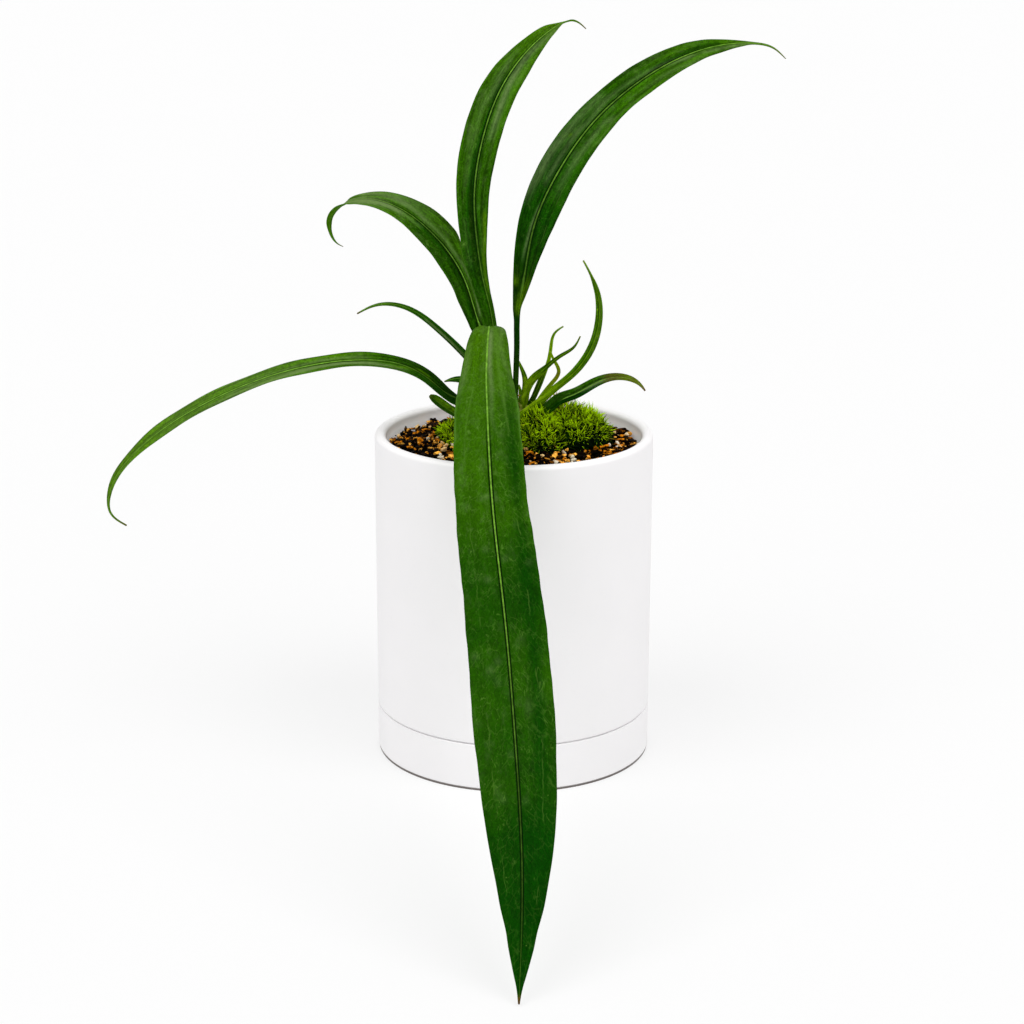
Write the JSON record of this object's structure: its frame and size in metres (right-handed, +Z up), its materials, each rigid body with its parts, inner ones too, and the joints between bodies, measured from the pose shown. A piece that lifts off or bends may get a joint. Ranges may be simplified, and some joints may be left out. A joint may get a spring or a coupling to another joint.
{
  "type": "potted anthurium vittariifolium",
  "caption": "Strap-leaf aroid with long arching and hanging ribbon leaves, rooted in chunky bark mix with moss, in a plain white ceramic cylinder pot on a flush saucer.",
  "frame": {"origin": "centre of the saucer's flat underside, on the pot's own axis", "axes": "+Z up along the pot's axis, -Y towards the tip of the longest leaf, +X to the right seen from that side"},
  "size_m": [0.3164, 0.3474, 0.3388],
  "materials": {
    "white_ceramic": "satin",
    "bark_mix": "matte",
    "moss_green": "matte",
    "crown_stem": "matte",
    "leaf_green": "satin",
    "young_leaf_green": "satin",
    "dried_leaf": "matte"
  },
  "bodies": {
    "root": {"saucer": "white_ceramic", "pot": "white_ceramic", "potting_mix": "bark_mix", "moss_right": "moss_green", "moss_left": "moss_green", "crown": "crown_stem", "leaf_front_long": "leaf_green", "leaf_back_left": "leaf_green", "leaf_back_tall": "leaf_green", "leaf_back_right": "leaf_green", "leaf_left_long": "leaf_green", "leaf_left_narrow": "leaf_green", "leaf_left_stub": "leaf_green", "leaf_left_tip": "leaf_green", "leaf_right_upright": "young_leaf_green", "leaf_right_low": "leaf_green", "shoot_forked": "young_leaf_green", "shoot_curved": "young_leaf_green", "shoot_inner": "young_leaf_green", "shoot_bud": "young_leaf_green", "dried_tendril": "dried_leaf"}
  },
  "joints": []
}
